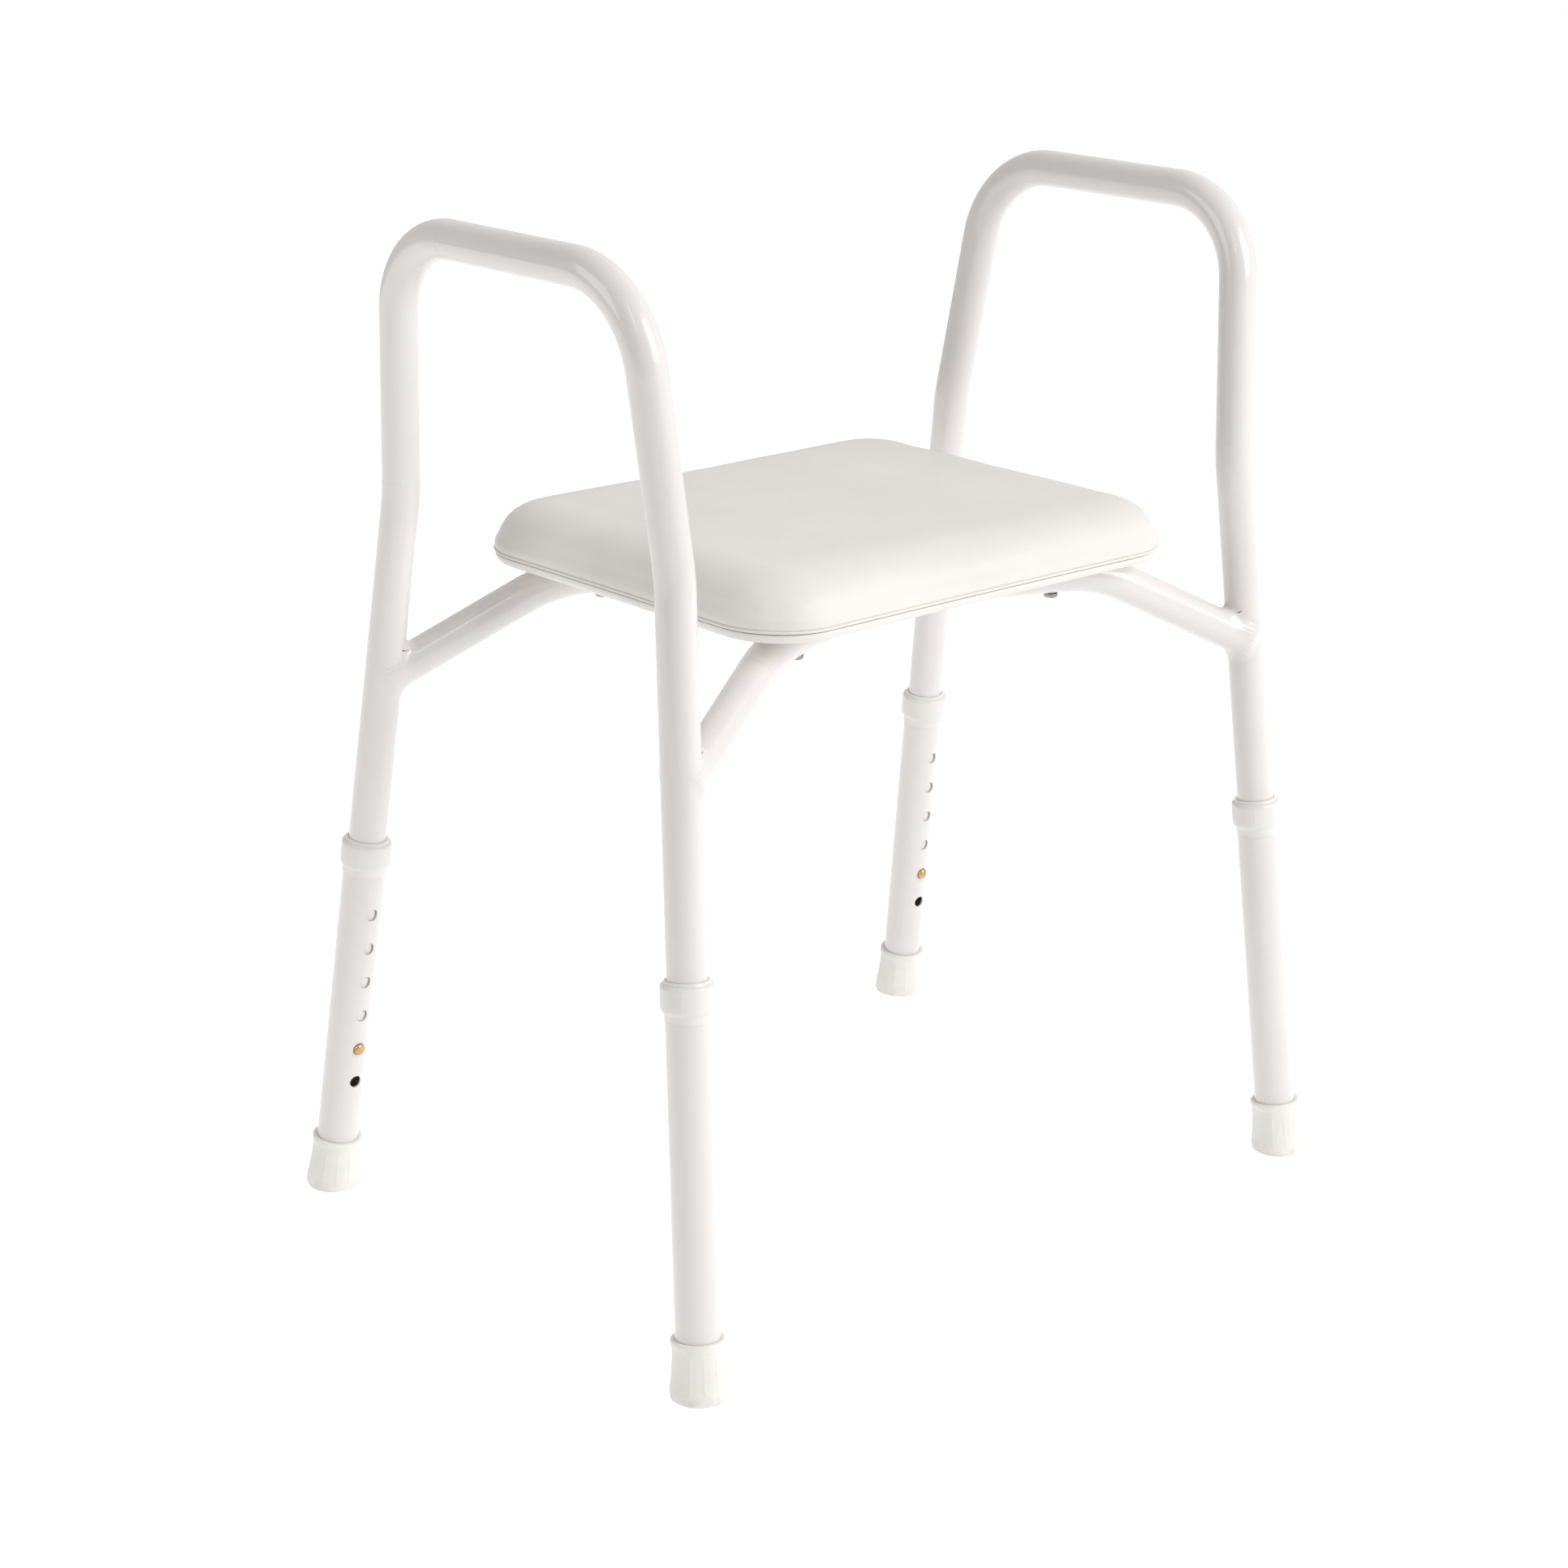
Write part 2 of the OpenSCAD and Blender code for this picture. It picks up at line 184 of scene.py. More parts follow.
def moulded(name, tint, shade, rough_low, rough_high, texture, spec=0.45):
    """Moulded plastic: fine spark texture, faint flow lines, specks and slight mottling."""
    look = Look(name, IOR=1.49, Specular_IOR_Level=spec)
    broad = look.noise(22.0, 3.0)
    colour = look.mix(look.span(broad, 0.3, 0.7, 0.0, 1.0), tint, shade)
    specks = look.span(look.noise(700.0, 2.0), 0.68, 0.80, 0.0, 0.10)
    colour = look.mix(specks, colour, tuple(0.82 * c for c in shade))
    rough = look.span(look.maths("ADD", look.noise(130.0, 2.0), broad), 0.7, 1.3, rough_low, rough_high)
    spark = look.bump(look.noise(texture, 2.0, 0.6), 0.00008, 0.6)
    flow = look.bump(look.noise(60.0, 2.0, coords=look.stretched(1.0, 1.0, 0.25)), 0.0002, 0.18, over=spark)
    return look.done(colour, rough, flow)


def rubber(name):
    """Off-white matt rubber with a chalky bloom, and patchy darkening towards the floor."""
    look = Look(name, IOR=1.5, Specular_IOR_Level=0.3, Sheen_Weight=0.05)
    broad = look.noise(34.0, 4.0, 0.6)
    colour = look.mix(look.span(broad, 0.3, 0.7, 0.0, 1.0), (0.83, 0.82, 0.77), (0.77, 0.755, 0.705))
    low = look.add("ShaderNodeSeparateXYZ")
    look.link(look.coords, low.inputs["Vector"])
    # patchy darkening in the lowest 10 mm of the foot, towards the floor
    low_darkening = look.span(low.outputs["Z"], 0.0, 0.010, 0.5, 0.0)
    low_darkening = look.maths("MULTIPLY", low_darkening, look.span(look.noise(160.0, 4.0, 0.7), 0.4, 0.65, 0.0, 1.0))
    colour = look.mix(low_darkening, colour, (0.60, 0.57, 0.52))
    rough = look.span(look.noise(110.0, 3.0), 0.3, 0.7, 0.55, 0.72)
    grain = look.bump(look.noise(800.0, 2.0, 0.7), 0.0001, 0.55)
    return look.done(colour, rough, look.bump(broad, 0.0006, 0.12, over=grain))


def metal(name, tint, shade, rough_low, rough_high, brush=(1.0, 1.0, 0.06), marks=0.35):
    """Bare or plated metal: brushed grain, stains and small scratches."""
    look = Look(name, Metallic=1.0)
    broad = look.noise(160.0, 4.0, 0.6)
    colour = look.mix(look.span(broad, 0.35, 0.65, 0.0, 1.0), tint, shade)
    grain = look.noise(1500.0, 2.0, 0.7, coords=look.stretched(*brush))
    scratch = look.cell_edges(240.0, coords=look.stretched(1.0, 0.3, 1.0))
    colour = look.mix(look.span(scratch, 0.0, 0.02, marks, 0.0), colour, tuple(0.55 * c for c in shade))
    rough = look.span(look.maths("ADD", grain, broad), 0.7, 1.3, rough_low, rough_high)
    return look.done(colour, rough, look.bump(grain, 0.00003, 0.5))


MATERIALS = {
    "frame_enamel": enamel("frame_enamel", (0.745, 0.712, 0.693), (0.722, 0.688, 0.668)),
    "leg_enamel": enamel("leg_enamel", (0.755, 0.722, 0.706), (0.732, 0.698, 0.682)),
    "seat_board": moulded("seat_board", (0.795, 0.77, 0.74), (0.755, 0.73, 0.70), 0.38, 0.50, 520.0),
    "seat_padding": padding("seat_padding"),
    "collar_plastic": moulded("collar_plastic", (0.775, 0.755, 0.73), (0.75, 0.73, 0.705), 0.30, 0.42, 640.0,
                              spec=0.5),
    "foot_rubber": rubber("foot_rubber"),
    "bolt_steel": metal("bolt_steel", (0.42, 0.41, 0.40), (0.28, 0.27, 0.26), 0.30, 0.46),
    "button_brass": metal("button_brass", (0.70, 0.46, 0.21), (0.58, 0.36, 0.15), 0.30, 0.42),
    "spring_steel": metal("spring_steel", (0.60, 0.61, 0.62), (0.50, 0.50, 0.51), 0.29, 0.42),
}

for entry in frame["record"]["subparts"]:
    cad = NODES[entry["node"]]
    cad.data.materials.clear()
    cad.data.materials.append(MATERIALS[entry["material_slot"]])

# ---------------------------------------------------------------- mesh helpers


def new_object(name, bm, slot, angle=40.0):
    """Makes an object from bm, smooth except at edges sharper than angle."""
    mesh = bpy.data.meshes.new(name)
    bm.normal_update()
    bm.to_mesh(mesh)
    bm.free()
    mesh.materials.append(MATERIALS[slot])
    mesh.shade_smooth()
    mesh.set_sharp_from_angle(angle=math.radians(angle))
    obj = bpy.data.objects.new(name, mesh)
    bpy.context.scene.collection.objects.link(obj)
    return obj


def stand_for(obj, node, body):
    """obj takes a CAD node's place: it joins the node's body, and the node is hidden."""
    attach(obj, body)
    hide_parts(node)


def bridge(bm, loop_a, loop_b):
    """A ring of quads between two loops of the same length."""
    n = len(loop_a)
    for i in range(n):
        bm.faces.new((loop_a[i], loop_a[(i + 1) % n], loop_b[(i + 1) % n], loop_b[i]))


def smoothstep(a, b, x):
    """0 below a, 1 above b, and a smooth rise between."""
    t = min(max((x - a) / (b - a), 0.0), 1.0)
    return t * t * (3 - 2 * t)


# ---------------------------------------------------------------- where things are

# the legs' axes lean evenly from the armrest down to the floor, front to back
ARM_HALF_DEPTH, ARM_Z, KNEE_Z = 0.115, 0.682, 0.505
# two points of the rear right leg's axis; the other legs mirror it
FOOT = Vector((0.280, 0.196, 0.0))
KNEE = Vector((0.255, FOOT.y - (FOOT.y - ARM_HALF_DEPTH) / ARM_Z * KNEE_Z, KNEE_Z))
LEG_R, FRAME_R = 14.3 * MM, 12.7 * MM
COLLAR_LOW, COLLAR_TOP = 240 * MM, 266 * MM
COLLAR_R = 17.0 * MM


def leg_frame(row, side):
    """Origin at the foot's floor point, Z up the leg, Y outwards in depth."""
    point = Vector((side * FOOT.x, row * FOOT.y, 0.0))
    up = (Vector((side * KNEE.x, row * KNEE.y, KNEE.z)) - point).normalized()
    out = Vector((0, row, 0))
    out = (out - up * out.dot(up)).normalized()
    across = out.cross(up)
    return Matrix(((across.x, out.x, up.x, point.x), (across.y, out.y, up.y, point.y),
                   (across.z, out.z, up.z, point.z), (0, 0, 0, 1)))


def lathe(profile, steps, wobble, closed=True):
    """Rings of quads round Z: profile is (radius, height) points, and wobble(angle, radius, height) is added
    to the radius. A closed profile joins its last ring to its first. Returns the mesh and its rings."""
    bm = bmesh.new()
    loops = []
    for r, z in profile:
        loop = []
        for i in range(steps):
            a = 2 * math.pi * i / steps
            rr = r + wobble(a, r, z)
            loop.append(bm.verts.new((rr * math.cos(a), rr * math.sin(a), z)))
        loops.append(loop)
    ends = loops[1:] + loops[:1] if closed else loops[1:]
    for a, b in zip(loops, ends):
        bridge(bm, a, b)
    return bm, loops


def arc(cx, cy, r, start, end, n):
    """n + 1 points on a circle of radius r round (cx, cy), from angle start to angle end in degrees."""
    angles = [math.radians(start + (end - start) * i / n) for i in range(n + 1)]
    return [(cx + r * math.cos(a), cy + r * math.sin(a)) for a in angles]


# ---------------------------------------------------------------- feet and collars


TURN_STEPS = 192
FOOT_RIBS = 12
# radii of the tread under a foot, three points to a band; every second band is a groove
TREAD_BANDS = ((13.6, 13.2, 12.9), (11.6, 11.3, 11.0), (9.2, 8.9, 8.6), (7.2, 6.9, 6.6), (4.6, 4.3, 4.0))
TREAD_DEPTH = 0.9 * MM
# before it is cut level with the floor, the underside is this far below it
FOOT_OVERSHOOT = 2.4 * MM


def foot_profile():
    """From the socket's floor up its wall, over the lip, and down the flared outside to the sole."""
    wall_r = LEG_R + 0.05 * MM
    pts = [(wall_r, 8 * MM), (wall_r, 37.6 * MM)]
    pts += arc(LEG_R + 0.4 * MM, 37.6 * MM, 0.35 * MM, 180, 90, 4)
    pts += arc(16.2 * MM, 36.9 * MM, 1.1 * MM, 90, 0, 5)
    pts += [(17.3 * MM, 35.2 * MM), (17.15 * MM, 34.2 * MM), (16.55 * MM, 33.4 * MM), (16.5 * MM, 32.6 * MM)]
    flare_steps = 14
    for i in range(1, flare_steps + 1):
        t = i / flare_steps
        pts.append(((16.5 + 1.75 * t ** 1.8) * MM, (32.6 - 24.6 * t) * MM))
    pts += [(18.5 * MM, 6.0 * MM), (18.55 * MM, 4.6 * MM)]
    pts += arc(14.6 * MM, 1.5 * MM, 3.9 * MM, 0, -90, 7)
    return pts


def foot_ribs(a, r, z):
    """Thin upright ribs on the flared outside, fading out at both ends."""
    if r < 15.5 * MM or z > 31.5 * MM or z < 5 * MM:
        return 0.0
    fade = smoothstep(5 * MM, 9 * MM, z) * (1 - smoothstep(27 * MM, 31.5 * MM, z))
    rib = max(0.0, math.cos(FOOT_RIBS * a)) ** 6
    return (0.26 * rib - 0.06) * MM * fade


def make_foot(row_name, row, side_name, side):
    """A ribbed rubber foot, cut level with the floor, with ring grooves underneath."""
    bm, loops = lathe(foot_profile(), TURN_STEPS, foot_ribs, closed=False)
    bm.faces.new(loops[0])
    rings, grooves = [loops[-1]], []
    for band, radii in enumerate(TREAD_BANDS):
        for r in radii:
            ring = []
            for i in range(TURN_STEPS):
                a = 2 * math.pi * i / TURN_STEPS
                ring.append(bm.verts.new((r * MM * math.cos(a), r * MM * math.sin(a), -FOOT_OVERSHOOT)))
            rings.append(ring)
            if band % 2:
                grooves.append(ring)
    for a, b in zip(rings, rings[1:]):
        bridge(bm, a, b)
    bm.faces.new(rings[-1])
    bm.transform(leg_frame(row, side))
    for v in bm.verts:
        v.co.z = max(v.co.z, 0.0)
    for ring in grooves:
        for v in ring:
            v.co.z += TREAD_DEPTH
    bmesh.ops.recalc_face_normals(bm, faces=bm.faces)
    suffix = f"{row_name}_{side_name}"
    foot = new_object(f"foot_{suffix}_ribbed", bm, "foot_rubber", angle=38)
    stand_for(foot, f"foot_{suffix}", f"leg_{suffix}")


def collar_profile():
    """From the thin skirt at the bottom up the outside, over the mouth and back down the bore."""
    low, top, r = COLLAR_LOW, COLLAR_TOP, COLLAR_R
    inner = LEG_R + 0.03 * MM
    mouth = FRAME_R + 0.06 * MM
    pts = [(inner, low + 0.15 * MM), (inner + 0.1 * MM, low), (LEG_R + 0.3 * MM, low + 0.1 * MM)]
    pts += [(LEG_R + 0.4 * MM, low + 5.0 * MM), (LEG_R + 0.8 * MM, low + 5.6 * MM),
            (r - 0.9 * MM, low + 6.6 * MM), (r - 0.35 * MM, low + 7.4 * MM), (r, low + 8.6 * MM)]
    pts += [(r, low + 12 * MM), (r - 0.02 * MM, low + 18 * MM), (r - 0.06 * MM, top - 5.2 * MM)]
    pts += arc(r - 2.4 * MM, top - 4.6 * MM, 2.35 * MM, 5, 85, 7)
    pts += [(14.6 * MM, top - 1.7 * MM), (14.25 * MM, top - 0.6 * MM)]
    pts += arc(mouth + 0.4 * MM, top - 0.45 * MM, 0.4 * MM, 80, 180, 5)
    pts += [(mouth, top - 8 * MM), (inner, top - 8.1 * MM)]
    return pts


def parting_line(a, r, z):
    """The mould's joint: a hair-thin ridge down two opposite sides."""
    if r < 15.2 * MM or z < COLLAR_LOW + 6 * MM or z > COLLAR_TOP - 5 * MM:
        return 0.0
    away = min(abs(math.remainder(a - math.pi / 5, math.pi)), 1.0)
    return 0.10 * MM * math.exp(-(away / 0.02) ** 2)


def make_collar(row_name, row, side_name, side):
    """The plastic sleeve that closes the top of the lower leg."""
    bm, _ = lathe(collar_profile(), TURN_STEPS, parting_line)
    bm.transform(leg_frame(row, side))
    bmesh.ops.recalc_face_normals(bm, faces=bm.faces)
    suffix = f"{row_name}_{side_name}"
    collar = new_object(f"collar_{suffix}_moulded", bm, "collar_plastic", angle=38)
    stand_for(collar, f"collar_{suffix}", f"leg_{suffix}")


for corner in CORNERS:
    make_foot(*corner)
    make_collar(*corner)

# ---------------------------------------------------------------- seat

SEAT_LOW, SEAT_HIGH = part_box("seat_cushion")
BASE_LOW, BASE_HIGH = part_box("seat_base")
HALF_X, HALF_Y = SEAT_HIGH.x, SEAT_HIGH.y
CORNER = 48 * MM
# how far each side bows out in the middle, and how far the padding's top is crowned
BOW = 2.0 * MM
CROWN = 1.6 * MM


def seat_outline(inset, steps=26, side_steps=22):
    """One loop round the seat, the same number of points whatever the inset, with sides a little bowed."""
    corner = max(CORNER - inset, 6 * MM)
    hx, hy = HALF_X - inset, HALF_Y - inset
    pts = []
    quads = [(1, 1, 0), (-1, 1, 90), (-1, -1, 180), (1, -1, 270)]
    for q, (sx, sy, a0) in enumerate(quads):
        cx, cy = sx * (hx - corner), sy * (hy - corner)
        for i in range(steps + 1):
            a = math.radians(a0 + 90 * i / steps)
            pts.append(Vector((cx + corner * math.cos(a), cy + corner * math.sin(a))))
        nx, ny, n0 = quads[(q + 1) % 4]
        a = math.radians(n0)
        end = Vector((nx * (hx - corner) + corner * math.cos(a), ny * (hy - corner) + corner * math.sin(a)))
        start = pts[-1]
        for i in range(1, side_steps):
            pts.append(start.lerp(end, i / side_steps))
    bow = BOW * min(1.0, corner / CORNER)
    for p in pts:
        fx = max(0.0, 1 - (p.x / hx) ** 2)
        fy = max(0.0, 1 - (p.y / hy) ** 2)
        if abs(p.y) > abs(p.x) * hy / hx:
            p.y += math.copysign(bow * (fx - 1), p.y)
        else:
            p.x += math.copysign(bow * (fy - 1), p.x)
    return pts


def slab_mesh(section, cap_steps=16):
    """section: (inset, z) from the middle of the underside to the middle of the top."""
    bm = bmesh.new()
    loops = [[bm.verts.new((p.x, p.y, z)) for p in seat_outline(inset)] for inset, z in section]
    for a, b in zip(loops, loops[1:]):
        bridge(bm, a, b)
    for loop, z, crown in ((loops[0], section[0][1], 0.0), (loops[-1], section[-1][1], CROWN)):
        previous = loop
        for k in range(1, cap_steps):
            t = 1 - k / cap_steps
            ring = [bm.verts.new((v.co.x * t, v.co.y * t, z + crown * (1 - t * t))) for v in loop]
            bridge(bm, previous, ring)
            previous = ring
        bm.faces.new(previous)
    bmesh.ops.recalc_face_normals(bm, faces=bm.faces)
    return bm


def cushion_section(shrink=0.0):
    """The padding's edge: a tight lower lip, a rounded side and the rim of the crowned top."""
    low, top = SEAT_LOW.z + shrink, SEAT_HIGH.z - CROWN - shrink
    across, tall, power = 44 * MM, 29.0 * MM, 2.35
    pts = [(40 * MM, low), (12 * MM, low), (4 * MM + shrink, low), (2.2 * MM + shrink, low + 0.25 * MM),
           (0.9 * MM + shrink, low + 0.9 * MM), (0.45 * MM + shrink, low + 1.9 * MM)]
    foot_z = top - tall
    side_steps = 18
    for i in range(side_steps + 1):
        a = math.radians(90 * i / side_steps)
        x = math.cos(a) ** (2 / power)
        z = math.sin(a) ** (2 / power)
        pts.append((across * (1 - x) + 0.3 * MM + shrink, foot_z + tall * z))
    pts.append((60 * MM, top + 0.35 * MM))
    pts.append((80 * MM, top + 0.6 * MM))
    return pts


def inflate(obj, pressure, cap, frames=20, voxel=5 * MM):
    """Swells the pad with a short cloth run, in which no point moves further than cap."""
    remesh = obj.modifiers.new("voxels", "REMESH")
    remesh.mode = "VOXEL"
    remesh.voxel_size = voxel
    bpy.context.view_layer.objects.active = obj
    with bpy.context.temp_override(object=obj, active_object=obj, selected_objects=[obj]):
        bpy.ops.object.modifier_apply(modifier=remesh.name)
    before = [v.co.copy() for v in obj.data.vertices]
    cloth = obj.modifiers.new("cloth", "CLOTH")
    settings = cloth.settings
    settings.use_pressure = True
    settings.uniform_pressure_force = pressure
    settings.quality = 6
    settings.tension_stiffness = settings.compression_stiffness = 40
    settings.bending_stiffness = 2.0
    settings.effector_weights.gravity = 0.0
    cloth.point_cache.frame_start, cloth.point_cache.frame_end = 1, frames
    scene = bpy.context.scene
    for f in range(1, frames + 1):
        scene.frame_set(f)
    depsgraph = bpy.context.evaluated_depsgraph_get()
    result = obj.evaluated_get(depsgraph).to_mesh()
    moved = [v.co.copy() for v in result.vertices]
    obj.evaluated_get(depsgraph).to_mesh_clear()
    obj.modifiers.remove(cloth)
    scene.frame_set(1)
    for v, a, b in zip(obj.data.vertices, before, moved):
        step = b - a
        if step.length > cap:
            step *= cap / step.length
        v.co = a + step


def make_cushion():
    """The moulded pad: a crisp lower edge, and a top that follows the swelled shape."""
    swelled = new_object("swelled", slab_mesh(cushion_section(0.8 * MM)), "seat_padding")
    inflate(swelled, pressure=3.0, cap=1.6 * MM)
    tree = BVHTree.FromObject(swelled, bpy.context.evaluated_depsgraph_get())
    bm = slab_mesh(cushion_section(), cap_steps=24)
    low = SEAT_LOW.z
    for v in bm.verts:
        follow = smoothstep(low + 4 * MM, low + 13 * MM, v.co.z)
        if follow > 0:
            point = tree.find_nearest(v.co)[0]
            v.co = v.co.lerp(point, follow)
        broad = noise.noise(Vector((v.co.x * 14, v.co.y * 14, 3.7)))
        fine = noise.noise(Vector((v.co.x * 34, v.co.y * 34, 9.1)))
        wave = broad * 0.40 + fine * 0.12
        v.co.z += wave * MM * smoothstep(low + 14 * MM, SEAT_HIGH.z - 3 * MM, v.co.z)
    bpy.data.objects.remove(swelled)
    pad = new_object("seat_cushion_padded", bm, "seat_padding", angle=70)
    stand_for(pad, "seat_cushion", "frame")


def make_base():
    """The board under the padding, with its rounded rim."""
    low, top = BASE_LOW.z, BASE_HIGH.z
    section = [(60 * MM, low), (8 * MM, low), (5.0 * MM, low + 0.2 * MM), (3.2 * MM, low + 0.9 * MM),
               (2.2 * MM, low + 1.9 * MM), (1.4 * MM, low + 3.1 * MM), (1.0 * MM, low + 4.2 * MM),
               (0.85 * MM, low + 5.2 * MM), (0.9 * MM, low + 6.1 * MM), (1.2 * MM, low + 6.5 * MM),
               (3.4 * MM, low + 6.7 * MM), (4.5 * MM, top), (60 * MM, top)]
    base = new_object("seat_base_board", slab_mesh(section), "seat_board", angle=50)
    stand_for(base, "seat_base", "frame")


def make_welt():
    """The thin bead of the cushion's skin that rolls over the edge of the board."""
    z = SEAT_LOW.z
    section = []
    bead_steps = 12
    for i in range(bead_steps + 1):
        a = math.radians(100 - 200 * i / bead_steps)
        section.append(((1.05 - 0.95 * math.cos(a)) * MM, z + (0.15 + 1.0 * math.sin(a)) * MM))
    bm = bmesh.new()
    loops = []
    for inset, height in section:
        loops.append([bm.verts.new((p.x, p.y, height)) for p in seat_outline(inset - 0.35 * MM)])
    for a, b in zip(loops, loops[1:] + loops[:1]):
        bridge(bm, a, b)
    bmesh.ops.recalc_face_normals(bm, faces=bm.faces)
    welt = new_object("seat_cushion_welt", bm, "seat_padding", angle=60)
    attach(welt, "frame")


make_cushion()
make_base()
make_welt()

# ---------------------------------------------------------------- weld beads

CROSS_JOINT_Z = 378 * MM
# the cross tube's axis: end of its middle run, seen from above, and the shoulder further out
CROSS_MIDDLE = Vector((70 * MM, 78 * MM))
CROSS_SHOULDER_X, CROSS_SHOULDER_Z = 150 * MM, 437.2 * MM
# the cross tube is taken to start this far from where the axes meet
CROSS_START = 3 * MM
WELD_BLEND = 7.5 * MM
BEAD_RIPPLES = 33


def make_weld(row_name, row, side_name, side):
    """A painted fillet weld: the blend of the two tubes, found along rays from where their axes meet."""
    up = leg_frame(row, side).to_3x3() @ Vector((0, 0, 1))
    joint = Vector((side * FOOT.x, row * FOOT.y, 0)) + up * (CROSS_JOINT_Z / up.z)
    slope = (abs(joint.y) - CROSS_MIDDLE.y) / (abs(joint.x) - CROSS_MIDDLE.x)
    shoulder_y = CROSS_MIDDLE.y + slope * (CROSS_SHOULDER_X - CROSS_MIDDLE.x)
    shoulder = Vector((side * CROSS_SHOULDER_X, row * shoulder_y, CROSS_SHOULDER_Z))
    along = (shoulder - joint).normalized()
    first = along.cross(up).normalized()
    second = first.cross(along).normalized()

    def gap(p, axis):
        """Distance from p to the surface of a frame tube along axis, less than 0 inside it."""
        return (p - axis * p.dot(axis)).length - FRAME_R

    def blended(p):
        """Distance from p to the blended surface, and how much nearer p is to the cross tube."""
        leg, side_gap, end_gap = gap(p, up), gap(p, along), CROSS_START - p.dot(along)
        tube = math.hypot(max(side_gap, 0), max(end_gap, 0)) + min(max(side_gap, end_gap), 0)
        h = max(WELD_BLEND - abs(leg - tube), 0.0) / WELD_BLEND
        return min(leg, tube) - h * h * WELD_BLEND / 4, leg - tube

    def reach(u):
        """The point where the ray along u leaves the blended shape."""
        low, high = FRAME_R * 0.9, 90 * MM
        for _ in range(22):
            mid = (low + high) / 2
            if blended(u * mid)[0] > 0:
                high = mid
            else:
                low = mid
        return u * high

    def direction(a, tilt):
        radial = first * math.cos(a) + second * math.sin(a)
        return along * math.cos(tilt) + radial * math.sin(tilt)

    def tilt_where(a, wanted):
        """The tilt away from the cross tube at which the bead's edge runs."""
        low, high = math.radians(8), math.radians(150)
        for _ in range(18):
            mid = (low + high) / 2
            if blended(reach(direction(a, mid)))[1] > wanted:
                low = mid
            else:
                high = mid
        return low

    steps, rows = 132, 12
    bm = bmesh.new()
    strips = []
    for i in range(steps):
        a = 2 * math.pi * i / steps
        start, end = tilt_where(a, WELD_BLEND * 0.99), tilt_where(a, -WELD_BLEND * 0.99)
        strip = []
        for k in range(rows + 1):
            t = k / rows
            p = reach(direction(a, start + (end - start) * t))
            lift = math.sin(math.pi * t)
            ripple = 0.10 * MM * math.sin(BEAD_RIPPLES * a + 2.2 * math.cos(math.pi * t))
            ripple += 0.16 * MM * noise.noise(p * 260)
            sunk = 0.04 * MM if k in (0, rows) else 0
            strip.append(bm.verts.new(joint + p + p.normalized() * (lift * lift * ripple - sunk)))
        strips.append(strip)
    for i in range(steps):
        a, b = strips[i], strips[(i + 1) % steps]
        for k in range(rows):
            bm.faces.new((a[k], b[k], b[k + 1], a[k + 1]))
    bmesh.ops.recalc_face_normals(bm, faces=bm.faces)
    bm.faces.ensure_lookup_table()
    face = bm.faces[0]
    if face.normal.dot(face.calc_center_median() - joint) < 0:
        bmesh.ops.reverse_faces(bm, faces=bm.faces)
    suffix = f"{row_name}_{side_name}"
    bead = new_object(f"weld_{suffix}_bead", bm, "frame_enamel", angle=70)
    stand_for(bead, f"weld_{suffix}", "frame")


for corner in CORNERS:
    make_weld(*corner)

# ---------------------------------------------------------------- camera


# degrees round the object, above it, and of roll
CAMERA_AZIMUTH, CAMERA_ELEVATION, CAMERA_ROLL = -41.32, 17.03, 0.68
# metres: distance, height of the point looked at, and step to the right
CAMERA_DISTANCE, CAMERA_AIM_Z, CAMERA_SIDESTEP = 2.19082, 0.35386, -0.0921
CAMERA_LENS_MM, CAMERA_SENSOR_MM, CAMERA_SHIFT = 73.49, 36, 0.060


def make_camera():
    az, el, roll = (math.radians(x) for x in (CAMERA_AZIMUTH, CAMERA_ELEVATION, CAMERA_ROLL))
    back = Vector((math.sin(az) * math.cos(el), -math.cos(az) * math.cos(el), math.sin(el)))
    level_right = Vector((math.cos(az), math.sin(az), 0))
    level_up = back.cross(level_right)
    place = back * CAMERA_DISTANCE + Vector((0, 0, CAMERA_AIM_Z)) + level_right * CAMERA_SIDESTEP
    right = level_right * math.cos(roll) + level_up * math.sin(roll)
    up = level_up * math.cos(roll) - level_right * math.sin(roll)
    data = bpy.data.cameras.new("camera")
    data.sensor_width = CAMERA_SENSOR_MM
    data.lens = CAMERA_LENS_MM
    data.shift_x, data.shift_y = CAMERA_SHIFT, -CAMERA_SHIFT
    cam = bpy.data.objects.new("camera", data)
    cam.matrix_world = Matrix(((right.x, up.x, back.x, place.x), (right.y, up.y, back.y, place.y),
                               (right.z, up.z, back.z, place.z), (0, 0, 0, 1)))
    bpy.context.scene.collection.objects.link(cam)
    bpy.context.scene.camera = cam


make_camera()

# ---------------------------------------------------------------- floor and light


FLOOR_RADIUS = 4.0
FLOOR_GREY, FLOOR_GLOW = 0.36, 0.84
# strength of the room's light: an even part, and what each direction adds
ROOM_LIGHT = 0.40
ROOM_GRADIENTS = (((0.751, -0.66, 0.0), 0.30), ((-0.66, -0.751, 0.0), -0.30), ((0.0, 0.0, 1.0), 0.35))
# name, place, point aimed at, width and height, power
LAMPS = (
    ("key", (0.92, -2.50, 1.90), (0, 0, 0.4), (1.6, 1.8), 53),
    ("strip", (-1.9, -1.9, 2.6), (0, 0, 0.5), (0.10, 1.3), 5),
    ("fill", (-2.6, 1.0, 1.5), (0, 0, 0.4), (1.5, 1.5), 19),
)


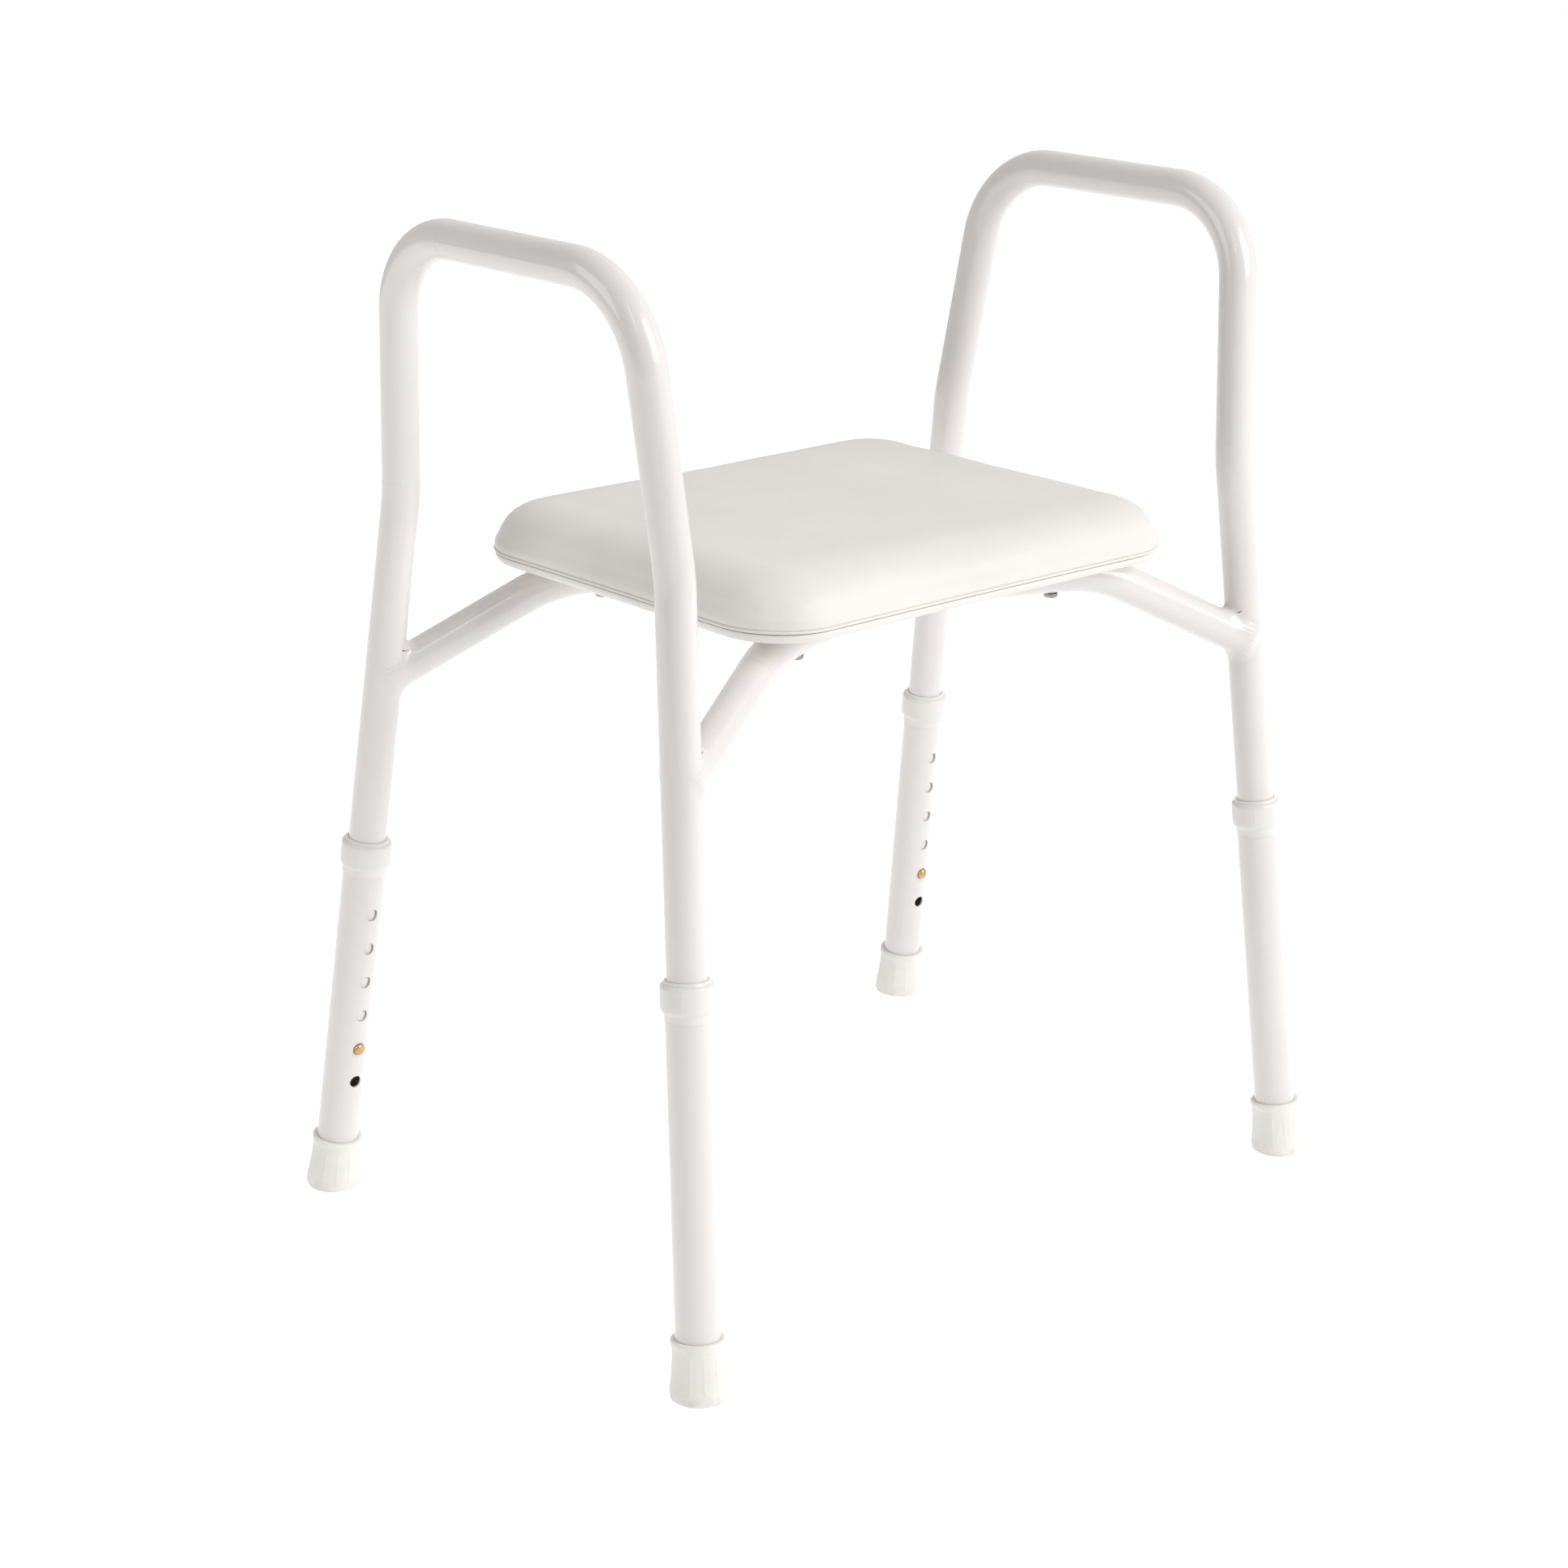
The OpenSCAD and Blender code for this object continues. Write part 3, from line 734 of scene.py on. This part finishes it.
def make_floor():
    """A plain white disc that glows a little, so that it stays near white under soft light."""
    bm = bmesh.new()
    bmesh.ops.create_circle(bm, cap_ends=True, radius=FLOOR_RADIUS, segments=96)
    mesh = bpy.data.meshes.new("floor")
    bm.to_mesh(mesh)
    bm.free()
    look = Look("floor_white", Specular_IOR_Level=0.0, Roughness=0.9, Emission_Strength=FLOOR_GLOW)
    look.shader.inputs["Base Color"].default_value = (FLOOR_GREY, FLOOR_GREY, FLOOR_GREY, 1)
    look.shader.inputs["Emission Color"].default_value = (1, 1, 1, 1)
    look.mat.cycles.emission_sampling = "NONE"
    mesh.materials.append(look.mat)
    floor = bpy.data.objects.new("floor", mesh)
    bpy.context.scene.collection.objects.link(floor)


def area_light(name, place, target, size, power):
    data = bpy.data.lights.new(name, "AREA")
    data.shape = "RECTANGLE"
    data.size, data.size_y = size
    data.energy = power
    light = bpy.data.objects.new(name, data)
    light.location = place
    light.rotation_mode = "QUATERNION"
    light.rotation_quaternion = (Vector(target) - Vector(place)).to_track_quat("-Z", "Y")
    bpy.context.scene.collection.objects.link(light)


def make_world():
    """A room that is brighter above and to one side, seen by the camera as plain white."""
    world = bpy.data.worlds.new("studio")
    bpy.context.scene.world = world
    world.use_nodes = True
    world.cycles.sampling_method = "NONE"
    tree = world.node_tree
    output = next(n for n in tree.nodes if n.type == "OUTPUT_WORLD")
    room = next(n for n in tree.nodes if n.type == "BACKGROUND")
    room.inputs["Color"].default_value = (1, 1, 1, 1)
    direction = tree.nodes.new("ShaderNodeTexCoord").outputs["Generated"]
    total = None
    for axis, gain in ROOM_GRADIENTS:
        dot = tree.nodes.new("ShaderNodeVectorMath")
        dot.operation = "DOT_PRODUCT"
        dot.inputs[1].default_value = tuple(c * gain for c in axis)
        tree.links.new(direction, dot.inputs[0])
        add = tree.nodes.new("ShaderNodeMath")
        add.operation = "ADD"
        add.inputs[0].default_value = ROOM_LIGHT
        if total is not None:
            tree.links.new(total, add.inputs[0])
        tree.links.new(dot.outputs["Value"], add.inputs[1])
        total = add.outputs[0]
    tree.links.new(total, room.inputs["Strength"])
    backdrop = tree.nodes.new("ShaderNodeBackground")
    backdrop.inputs["Color"].default_value = (1, 1, 1, 1)
    path = tree.nodes.new("ShaderNodeLightPath")
    mix = tree.nodes.new("ShaderNodeMixShader")
    tree.links.new(path.outputs["Is Camera Ray"], mix.inputs[0])
    tree.links.new(room.outputs[0], mix.inputs[1])
    tree.links.new(backdrop.outputs[0], mix.inputs[2])
    tree.links.new(mix.outputs[0], output.inputs["Surface"])


make_floor()
make_world()
for lamp in LAMPS:
    area_light(*lamp)
bpy.context.scene.view_settings.view_transform = "Standard"
